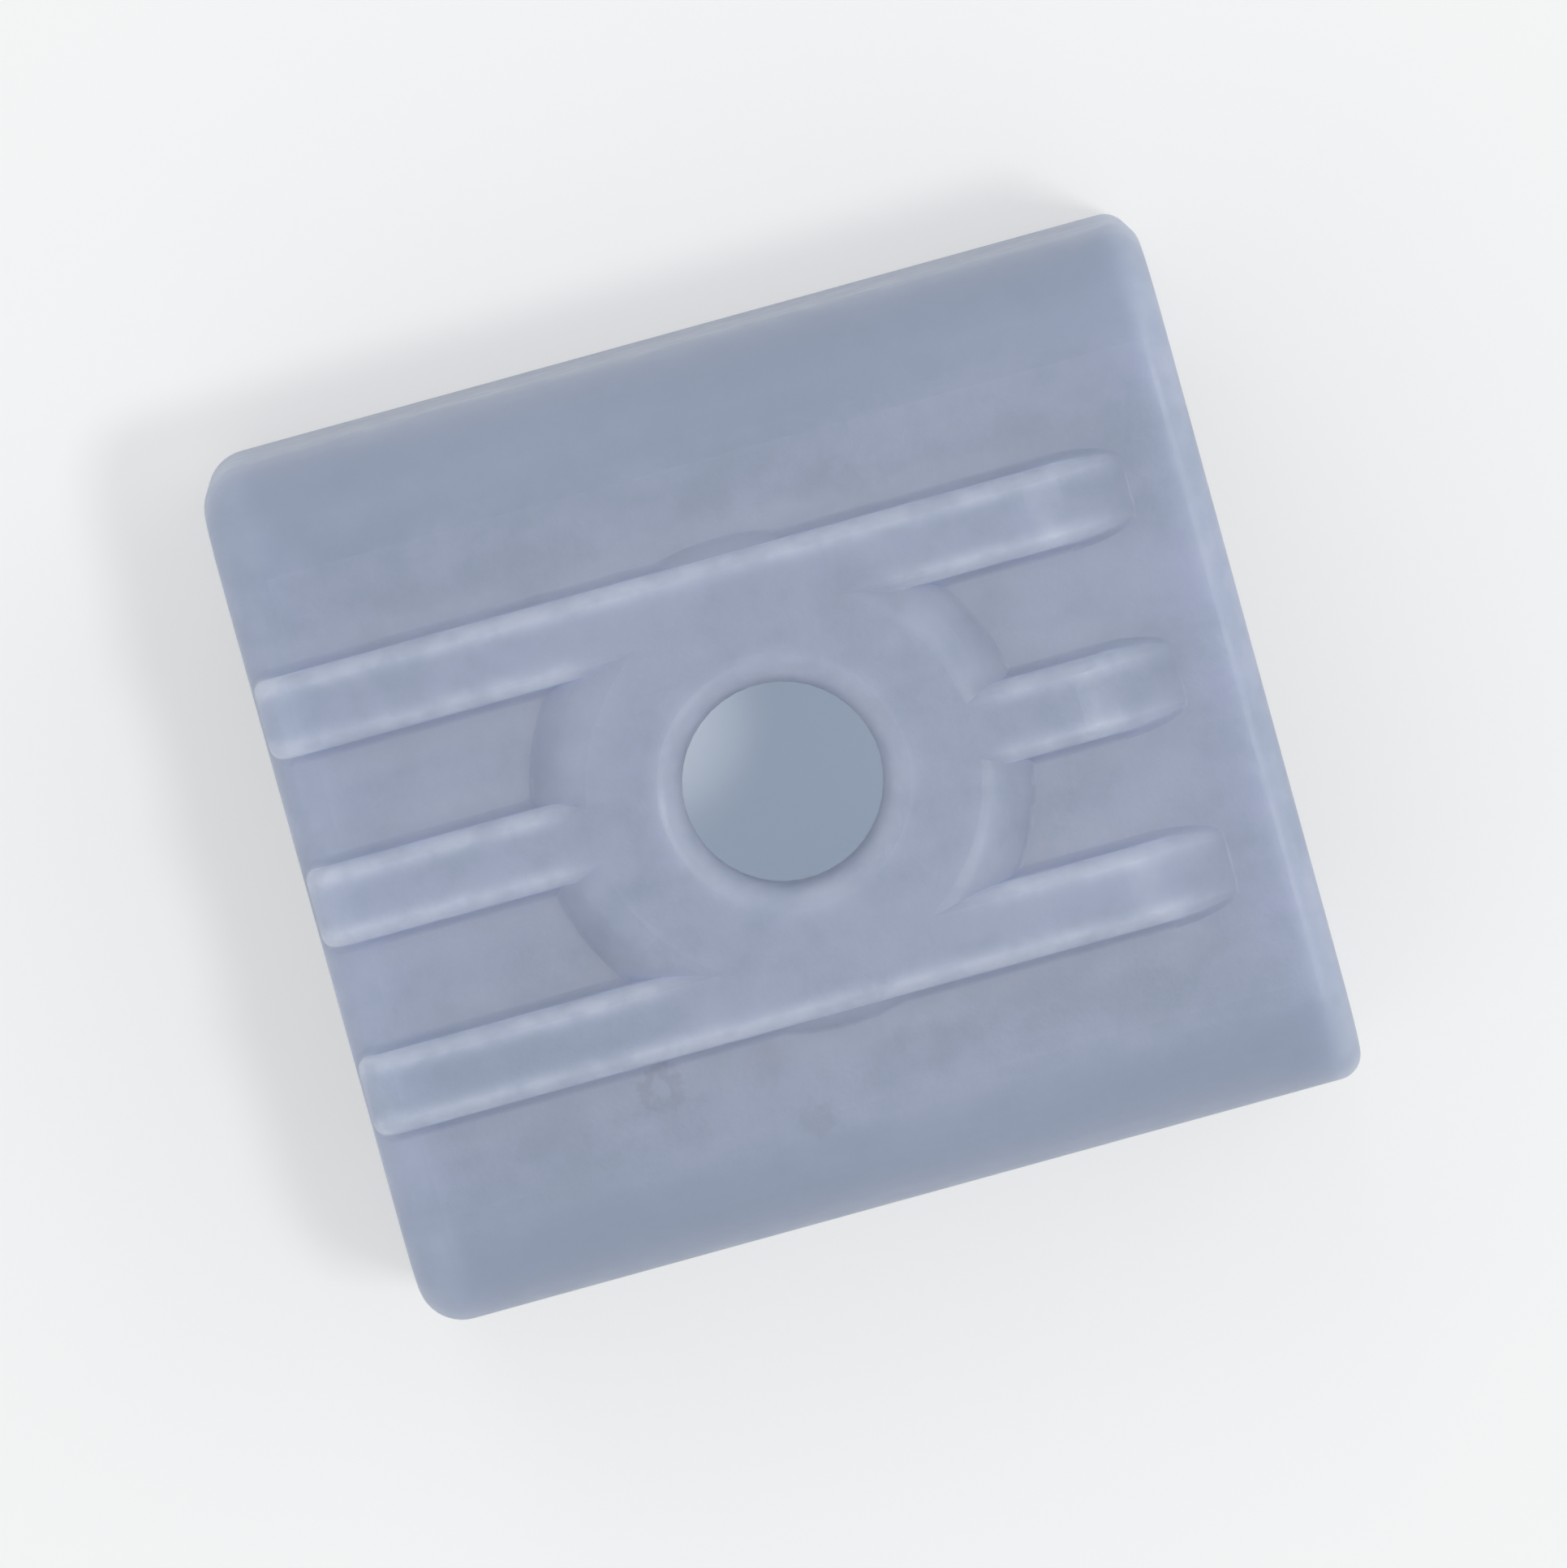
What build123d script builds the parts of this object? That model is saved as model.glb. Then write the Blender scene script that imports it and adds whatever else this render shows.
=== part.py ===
from build123d import *
from math import radians, tan
import os

# A snap-in mounting clip for a sleeved LED strip, moulded in one piece of milky plastic.
# It is drawn as it hangs under a shelf: the ribbed mounting face is up (+Z), the strip
# runs along X, and the clip opens downwards between its two lips. The origin is under
# the middle of the screw hole, level with the arm tips. All sizes are in millimetres.

# The strip that the clip holds, and its play in the channel
strip_width = 10.0
strip_thickness = 4.0
side_play = 0.15  # on each side of the strip
depth_play = 0.3

# Base and arms
clip_length = 15.0
arm_thickness = 1.7
base_thickness = 1.5
shoulder_radius = 1.75  # outside, where the base turns down into each arm
ceiling_radius = 0.5  # inside, under the shoulder

# Edges of the two ends
ribbed_end_radius = 0.7  # all round the outside of the end that the ribs run out over
plain_end_radius = 0.4  # all round the outside of the other end
inside_end_radius = 0.15  # round the channel, at both ends

# The lips that the strip snaps past, and the arm tips that carry them
lip_reach = 0.9  # how far each lip stands in from its arm
lip_height = 1.0
lead_in = 0.6  # slope that spreads the arms as the strip is pushed in
lip_radius = 0.2
lip_root_radius = 0.3
tip_radius = 0.8

# Raised ribs and disc on the mounting face
rib_count = 3
rib_pitch = 3.0
rib_width = 1.25
rib_height = 0.4
rib_setback = 0.05  # from the ribbed end's face to the ends of the ribs
rib_end_radius = 0.5  # where the ribs run out over the rounded end
rib_margin = 1.2  # plain band between the ribs and the other end's face
rib_ramp_length = 1.3  # slope by which each rib sinks into the plain band
rib_ramp_radius = 2.0  # between the top of the rib and that slope
rib_edge_radius = 0.2
disc_overhang = 0.225  # how far the disc swells out past the outer ribs
disc_slope_width = 0.55  # of the slope all round the disc
disc_edge_radius = 0.8  # between the top of the disc and that slope
pad_root_radius = 0.15  # all round the ribs and the disc, where they rise from the base
pad_root_depth = 0.75  # how far down into the base the ribs and the disc are rooted

# Screw hole through the disc, with a seat for the screw head inside the channel
hole_diameter = 3.1
hole_rim_radius = 0.4
head_diameter = 5.2
head_angle = 90.0  # of the cone under the screw head, from side to side

# Widths and levels that follow from the sizes above
channel_width = strip_width + 2 * side_play
channel_height = strip_thickness + depth_play
mouth_width = channel_width - 2 * lip_reach
clip_width = channel_width + 2 * arm_thickness
ceiling_z = lip_height + channel_height
base_top_z = ceiling_z + base_thickness
face_z = base_top_z + rib_height
root_z = base_top_z - pad_root_depth
disc_radius = (rib_count - 1) / 2 * rib_pitch + rib_width / 2 + disc_overhang

tolerance = 0.001
from_below = (Align.CENTER, Align.MIN)
from_below_3d = (Align.CENTER, Align.CENTER, Align.MIN)


def corner_pair(section, half_width, height):
    """The corners of a section at this height, left and right of its middle."""
    return [
        corner
        for corner in section.vertices()
        if abs(abs(corner.X) - half_width) < tolerance and abs(corner.Y - height) < tolerance
    ]


def clip_section():
    """Section across the strip: base, two arms and their lips."""
    section = Rectangle(clip_width, base_top_z, align=from_below)
    section -= Rectangle(mouth_width, ceiling_z, align=from_below)
    section -= Pos(0, lip_height) * Rectangle(channel_width, channel_height, align=from_below)
    section = fillet(corner_pair(section, clip_width / 2, base_top_z), shoulder_radius)
    section = fillet(corner_pair(section, channel_width / 2, ceiling_z), ceiling_radius)
    section = fillet(corner_pair(section, channel_width / 2, lip_height), lip_root_radius)
    section = fillet(corner_pair(section, mouth_width / 2, lip_height), lip_radius)
    section = fillet(corner_pair(section, clip_width / 2, 0), tip_radius)
    return chamfer(corner_pair(section, mouth_width / 2, 0), lead_in)


def end_edges(body, end):
    """Outside and inside edges of one end face: end 0 is the ribbed one, end -1 the plain one."""
    edges = body.faces().filter_by(Axis.X).sort_by(Axis.X)[end].edges()
    outside = [
        edge
        for edge in edges
        if edge.center().Z > base_top_z - tolerance
        or abs(edge.center().Y) > clip_width / 2 - tolerance
    ]
    inside = [
        edge
        for edge in edges
        if edge.center().Z < ceiling_z + tolerance
        and abs(edge.center().Y) < channel_width / 2 + tolerance
    ]
    return outside, inside


def channel_body():
    """Base, arms and lips, with the edges of both ends rounded."""
    body = extrude(Plane.YZ * clip_section(), amount=clip_length / 2, both=True)
    for end, outside_radius in ((0, ribbed_end_radius), (-1, plain_end_radius)):
        body = fillet(end_edges(body, end)[0], outside_radius)
        body = fillet(end_edges(body, end)[1], inside_end_radius)
    return body


def rib():
    """The middle rib: rounded over at the ribbed end, and sloping down at the other."""
    start_x = rib_setback - clip_length / 2
    end_x = clip_length / 2 - rib_margin
    ramp_x = end_x - rib_ramp_length
    toe_x = end_x + rib_ramp_length / 2  # the slope goes on into the base
    toe_z = base_top_z - rib_height / 2
    outline = Polyline(
        (start_x, root_z),
        (start_x, face_z),
        (ramp_x, face_z),
        (toe_x, toe_z),
        (toe_x, root_z),
        close=True,
    )
    side = make_face(outline)
    end_corner, ramp_corner = side.vertices().group_by(Axis.Y)[-1].sort_by(Axis.X)
    side = fillet(end_corner, rib_end_radius)
    side = fillet(side.vertices().sort_by_distance(ramp_corner)[0], rib_ramp_radius)
    body = extrude(Plane.XZ * side, amount=rib_width / 2, both=True)
    upper_edges = [
        edge
        for edge in body.edges()
        if abs(abs(edge.center().Y) - rib_width / 2) < tolerance and edge.center().Z > toe_z
    ]
    return fillet(upper_edges, rib_edge_radius)


def disc():
    """The disc round the screw hole, with a soft slope all round it."""
    root_radius = disc_radius + disc_slope_width * pad_root_depth / rib_height
    top_radius = disc_radius - disc_slope_width
    body = Cone(root_radius, top_radius, face_z - root_z, align=from_below_3d)
    body = fillet(body.edges().sort_by(Axis.Z)[-1], disc_edge_radius)
    return Pos(0, 0, root_z) * body


def mounting_pads():
    """The raised ribs and the disc that joins them, all rooted in the base."""
    pads = disc()
    for row in GridLocations(0, rib_pitch, 1, rib_count):
        pads += row * rib()
    return pads


def screw_hole():
    """The hole for the screw's shank, and the cone that seats its head."""
    seat_depth = (head_diameter - hole_diameter) / 2 / tan(radians(head_angle / 2))
    shank = Cylinder(hole_diameter / 2, face_z - ceiling_z, align=from_below_3d)
    seat = Cone(head_diameter / 2, hole_diameter / 2, seat_depth, align=from_below_3d)
    return Pos(0, 0, ceiling_z) * (shank + seat)


def clip_body():
    """The whole clip: channel, ribs and disc, and the screw hole with its rounded rim."""
    channel = channel_body()
    pads = mounting_pads()
    clip = channel + pads
    clip = fillet(new_edges(channel, pads, combined=clip), pad_root_radius)
    clip -= screw_hole()
    circles = clip.edges().group_by(Axis.Z)[-1].filter_by(GeomType.CIRCLE)
    return fillet(circles.sort_by(SortBy.RADIUS)[0], hole_rim_radius)


os.makedirs("parts", exist_ok=True)
export_step(clip_body(), "parts/clip_body.step")
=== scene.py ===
"""Looks for the LED strip mounting clip: milky moulded plastic, seen on its ribbed face."""

import math

import bpy
from mathutils import Matrix, Vector


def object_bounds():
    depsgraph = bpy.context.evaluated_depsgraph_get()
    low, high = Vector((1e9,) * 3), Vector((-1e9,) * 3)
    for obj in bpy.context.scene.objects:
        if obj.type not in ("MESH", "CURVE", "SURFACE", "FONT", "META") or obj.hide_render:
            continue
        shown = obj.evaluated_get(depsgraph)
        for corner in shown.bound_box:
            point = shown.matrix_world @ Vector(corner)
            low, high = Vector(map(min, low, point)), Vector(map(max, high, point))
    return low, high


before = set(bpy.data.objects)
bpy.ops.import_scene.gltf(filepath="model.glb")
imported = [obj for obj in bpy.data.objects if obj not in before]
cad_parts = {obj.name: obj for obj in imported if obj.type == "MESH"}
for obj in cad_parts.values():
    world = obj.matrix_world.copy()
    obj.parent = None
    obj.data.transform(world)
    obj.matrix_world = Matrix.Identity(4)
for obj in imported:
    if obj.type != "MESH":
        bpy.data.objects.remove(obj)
cad_low, cad_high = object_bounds()
MM = 0.001
CENTRE = (cad_low + cad_high) / 2
FACE_Z = cad_high.z

# The photograph's viewing angle
TILT = math.radians(4.0)  # from straight above the ribbed face, towards +Y
ROLL = math.radians(15.4)  # how far the strip's direction rises to the right
VIEW_WIDTH = 24 * MM  # what the frame takes in at the clip
LENS = 400  # millimetres: a long lens, so the clip shows little perspective
SENSOR_WIDTH = 36  # millimetres

# The plastic's colours, as linear values, with its painted corner light and painted edge highlight,
# and its body and sheen
PLASTIC = (0.365, 0.405, 0.525)
PLASTIC_DEEP = (0.308, 0.356, 0.456)
PLASTIC_PAINTED_CORNER_LIGHT = (0.52, 0.56, 0.66)
PLASTIC_EDGE_HIGHLIGHT = (0.66, 0.71, 0.85)
MARK = (0.22, 0.25, 0.32)
IOR = 1.49
ROUGHNESS = (0.36, 0.48)  # it varies between these
SCATTER_RADIUS = (1.0, 1.05, 1.2)  # shares for red, green and blue
SCATTER_SCALE = 2.0 * MM

# Where the painted light, highlight and shade lie on the plastic, and where its marks show, in
# millimetres
EDGE_REACH = 0.4  # how near an outer edge the painted highlight reaches
CORNER_REACH = 0.7  # how near an inner corner the painted light reaches
SHOULDER = (2.8, 0.5)  # in from the sides: where the painted shade starts, and where it is deepest
FACE_DEPTH = (1.0, 0.7)  # under the ribs' tops: where the marks start, and where they show fully

# Small marks on the mounting face, in millimetres from the hole: place, radius and depth of tone
RING_MARK = (-3.06, -4.06)
RING_RADIUS = 0.26
SMUDGES = (
    (-0.85, -5.15, 0.40, 0.22),
    (-1.35, -4.05, 0.45, 0.14),
    (0.75, -4.3, 0.24, 0.16),
    (0.65, -3.2, 0.18, 0.12),
)

# The floor and the room
FLOOR = (0.93, 0.925, 0.915)
FLOOR_PAINTED_LIGHT_UNDER_CLIP = (0.52, 0.69, 0.95)  # a bluish painted light under the clip, in its shade: the tone that is seen through the hole
FLOOR_AROUND = (0.98, 0.99, 1.0)
FLOOR_LIFT = (0.28, 0.42)  # their share in what the camera sees, under the clip and around it
UNDER_CLIP = (3 * MM, 6.5 * MM)  # how far from its middle the first tone gives way to the second
FLOOR_SIZE = 4.0
FLOOR_GAP = 0.01 * MM  # between the arm tips and the floor
ROOM = (0.97, 0.985, 1.0)
ROOM_STRENGTH = 0.6

# Lamps: azimuth and elevation in degrees, distance and size in metres, and the irradiance that
# each one gives a surface that faces it
LAMPS = {
    "key": (-30, 72, 0.5, 0.07, 0.75),
    "right_box": (20, 40, 0.4, 0.25, 0.25),
    "far_box": (100, 40, 0.4, 0.25, 0.29),
    "near_box": (-80, 40, 0.4, 0.25, 0.03),
    "left_box": (200, 40, 0.4, 0.25, 0.12),
}


# ---------------------------------------------------------------- materials


class Nodes:
    """Short calls that add and link shader nodes in one material."""

    def __init__(self, name):
        self.material = bpy.data.materials.new(name)
        self.material.use_nodes = True
        self.tree = self.material.node_tree
        self.tree.nodes.clear()

    def add(self, kind, inputs=(), **settings):
        node = self.tree.nodes.new(kind)
        for key, value in settings.items():
            setattr(node, key, value)
        for key, value in dict(inputs).items():
            if isinstance(value, bpy.types.NodeSocket):
                self.tree.links.new(value, node.inputs[key])
            else:
                node.inputs[key].default_value = value
        return node

    def math(self, operation, a, b=0.0):
        return self.add("ShaderNodeMath", {0: a, 1: b}, operation=operation).outputs[0]

    def noise(self, where, scale, detail=2.0, roughness=0.5):
        inputs = {"Vector": where, "Scale": scale, "Detail": detail, "Roughness": roughness}
        return self.add("ShaderNodeTexNoise", inputs).outputs["Fac"]

    def remap(self, value, low, high, to_low, to_high, smooth=False):
        inputs = {"Value": value, 1: low, 2: high, 3: to_low, 4: to_high}
        kind = "SMOOTHSTEP" if smooth else "LINEAR"
        node = self.add("ShaderNodeMapRange", inputs, interpolation_type=kind)
        return node.outputs["Result"]

    def mix(self, factor, a, b):
        inputs = {0: factor, 6: a, 7: b}
        node = self.add("ShaderNodeMix", inputs, data_type="RGBA")
        return node.outputs[2]


def nearby(n, reach, inside):
    """How much of the plastic's own surface lies within this reach: 0 on a flat, 0.5 at an edge."""
    settings = {"samples": 2, "inside": inside, "only_local": True}
    node = n.add("ShaderNodeAmbientOcclusion", {"Distance": reach}, **settings)
    return n.math("SUBTRACT", 1.0, node.outputs["AO"])


def painted_edge_highlight(n, in_mm):
    """A painted highlight: a thin lighter line along sharp outer edges, in patches: 0 to 1."""
    edge = n.remap(nearby(n, EDGE_REACH * MM, inside=True), 0.27, 0.50, 0.0, 1.0)
    patchy = n.remap(n.noise(in_mm, 1.9, detail=3), 0.35, 0.62, 0.45, 1.0, smooth=True)
    return n.math("MULTIPLY", edge, patchy)


def painted_corner_light(n):
    """Painted light in inner corners, such as the ribs' roots, standing in for light through the
    plastic: 0 to 1.
    """
    return n.remap(nearby(n, CORNER_REACH * MM, inside=False), 0.05, 0.50, 0.0, 0.9)


def face_marks(n, in_mm):
    """The faint ring and smudges left on the mounting face, as one mask: 0 to 1."""
    ragged = n.remap(n.noise(in_mm, 5.0, detail=3), 0.3, 0.7, -0.12, 0.12)

    def distance_to(x, y):
        flat = n.add("ShaderNodeMapping", {"Vector": in_mm, "Scale": (1, 1, 0)}).outputs[0]
        node = n.add("ShaderNodeVectorMath", {0: flat, 1: (x, y, 0)}, operation="DISTANCE")
        return n.math("ADD", node.outputs["Value"], ragged)

    off_ring = n.math("ABSOLUTE", n.math("SUBTRACT", distance_to(*RING_MARK), RING_RADIUS))
    mask = n.remap(off_ring, 0.16, 0.03, 0.0, 0.28, smooth=True)
    for x, y, radius, tone in SMUDGES:
        spot = n.remap(distance_to(x, y), radius, radius / 3, 0.0, tone, smooth=True)
        mask = n.math("MAXIMUM", mask, spot)
    height = n.add("ShaderNodeSeparateXYZ", {"Vector": in_mm}).outputs["Z"]
    starts, full = (FACE_Z / MM - depth for depth in FACE_DEPTH)
    outer_face = n.remap(height, starts, full, 0.0, 1.0)
    return n.math("MULTIPLY", mask, outer_face)


def milky_plastic():
    """Milky translucent plastic: soft satin sheen, cloudy body, painted highlights along the edges,
    painted light in the inner corners, painted shade towards the sides, and faint marks.
    """
    n = Nodes("milky_plastic_look")
    place = n.add("ShaderNodeTexCoord").outputs["Object"]
    in_mm = n.add("ShaderNodeMapping", {"Vector": place, "Scale": (1 / MM,) * 3}).outputs[0]
    along_flow = n.add("ShaderNodeMapping", {"Vector": in_mm, "Scale": (0.35, 1, 1)}).outputs[0]

    cloud = n.noise(along_flow, 0.45, detail=3)
    mottle = n.noise(in_mm, 1.4, detail=4, roughness=0.6)
    body = n.math("ADD", n.math("MULTIPLY", cloud, 0.6), n.math("MULTIPLY", mottle, 0.4))
    cloudy = n.remap(body, 0.36, 0.62, 0.0, 1.0, smooth=True)
    colour = n.mix(cloudy, (*PLASTIC_DEEP, 1), (*PLASTIC, 1))
    sideways = n.math("ABSOLUTE", n.add("ShaderNodeSeparateXYZ", {"Vector": in_mm}).outputs["Y"])
    starts, deepest = (cad_high.y / MM - inset for inset in SHOULDER)
    # Painted shade: darker towards both sides, over the shoulders.
    painted_side_shade = n.remap(sideways, starts, deepest, 0.0, 0.75, smooth=True)
    colour = n.mix(painted_side_shade, colour, (*PLASTIC_DEEP, 1))
    # Painted light: inner corners lighter, standing in for light through the plastic.
    colour = n.mix(painted_corner_light(n), colour, (*PLASTIC_PAINTED_CORNER_LIGHT, 1))
    # Painted highlight: lighter, patchy lines along the outer edges.
    colour = n.mix(painted_edge_highlight(n, in_mm), colour, (*PLASTIC_EDGE_HIGHLIGHT, 1))
    colour = n.mix(face_marks(n, in_mm), colour, (*MARK, 1))

    satin = n.remap(n.noise(in_mm, 1.6, detail=4), 0.3, 0.7, *ROUGHNESS)
    grain = n.noise(in_mm, 9.0, detail=3, roughness=0.6)
    waves = n.noise(along_flow, 1.3, detail=2)
    relief = n.math("ADD", n.math("MULTIPLY", grain, 0.004), n.math("MULTIPLY", waves, 0.03))
    bump = n.add("ShaderNodeBump", {"Strength": 1.0, "Distance": MM, "Height": relief}).outputs[0]

    shader = n.add(
        "ShaderNodeBsdfPrincipled",
        {
            "Base Color": colour,
            "Roughness": satin,
            "Normal": bump,
            "IOR": IOR,
            "Subsurface Weight": 1.0,
            "Subsurface Radius": SCATTER_RADIUS,
            "Subsurface Scale": SCATTER_SCALE,
        },
    )
    n.add("ShaderNodeOutputMaterial", {"Surface": shader.outputs[0]})
    return n.material


def pale_floor():
    """White floor that keeps the clip's shadow. The camera and the gloss see it lifted a little,
    and under the clip the lift is a bluish painted light.
    """
    n = Nodes("pale_floor")
    place = n.add("ShaderNodeTexCoord").outputs["Object"]
    from_clip = n.add("ShaderNodeVectorMath", {0: place}, operation="LENGTH").outputs["Value"]
    outside = n.remap(from_clip, *UNDER_CLIP, 0.0, 1.0, smooth=True)
    # Painted light: a bluish glow on the floor under the clip, in its shade.
    tone = n.mix(outside, (*FLOOR_PAINTED_LIGHT_UNDER_CLIP, 1), (*FLOOR_AROUND, 1))
    lit = n.add("ShaderNodeBsdfDiffuse", {"Color": (*FLOOR, 1)})
    lifted = n.add("ShaderNodeEmission", {"Color": tone, "Strength": 1.0})
    rays = n.add("ShaderNodeLightPath").outputs
    seen = n.math("MAXIMUM", rays["Is Camera Ray"], rays["Is Glossy Ray"])
    share = n.math("MULTIPLY", seen, n.remap(outside, 0.0, 1.0, *FLOOR_LIFT))
    both = n.add("ShaderNodeMixShader", {0: share, 1: lit.outputs[0], 2: lifted.outputs[0]})
    n.add("ShaderNodeOutputMaterial", {"Surface": both.outputs[0]})
    return n.material


# -------------------------------------------------------------------- stage


def make_floor():
    """A plain pale floor just under the arm tips."""
    bpy.ops.mesh.primitive_plane_add(size=FLOOR_SIZE, location=(0, 0, cad_low.z - FLOOR_GAP))
    floor = bpy.context.object
    floor.name = "floor"
    floor.data.materials.append(pale_floor())


def make_world():
    world = bpy.data.worlds.new("soft_room")
    bpy.context.scene.world = world
    world.use_nodes = True
    background = world.node_tree.nodes["Background"]
    background.inputs["Color"].default_value = (*ROOM, 1)
    background.inputs["Strength"].default_value = ROOM_STRENGTH


def area_light(name, azimuth, elevation, distance, size, irradiance):
    """A square lamp aimed at the clip. Irradiance is what it gives a surface that faces it."""
    a, e = math.radians(azimuth), math.radians(elevation)
    towards = Vector((math.cos(a) * math.cos(e), math.sin(a) * math.cos(e), math.sin(e)))
    data = bpy.data.lights.new(name, "AREA")
    data.shape = "SQUARE"
    data.size = size
    data.energy = irradiance * math.pi * distance**2
    lamp = bpy.data.objects.new(name, data)
    lamp.location = CENTRE + towards * distance
    lamp.rotation_euler = towards.to_track_quat("Z", "Y").to_euler()
    bpy.context.scene.collection.objects.link(lamp)


def make_camera():
    """Looks down on the ribbed face, tilted and rolled as in the photograph."""
    data = bpy.data.cameras.new("camera")
    data.lens = LENS
    data.sensor_width = SENSOR_WIDTH
    camera = bpy.data.objects.new("camera", data)
    back = Vector((0, math.sin(TILT), math.cos(TILT)))
    level = Vector((1, 0, 0))
    upright = back.cross(level)
    right = math.cos(ROLL) * level - math.sin(ROLL) * upright
    up = math.sin(ROLL) * level + math.cos(ROLL) * upright
    distance = VIEW_WIDTH * LENS / data.sensor_width
    target = Vector((CENTRE.x, CENTRE.y, FACE_Z))
    camera.matrix_world = Matrix.Translation(target + back * distance) @ Matrix(
        (right, up, back)
    ).transposed().to_4x4()
    data.clip_start = distance / 10
    data.clip_end = distance * 10
    bpy.context.scene.collection.objects.link(camera)
    bpy.context.scene.camera = camera


# --------------------------------------------------------------------- make

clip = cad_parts["clip_body"]
clip.data.materials[0] = milky_plastic()

make_floor()
make_world()
for lamp_name, settings in LAMPS.items():
    area_light(lamp_name, *settings)
make_camera()
bpy.context.scene.view_settings.view_transform = "Standard"
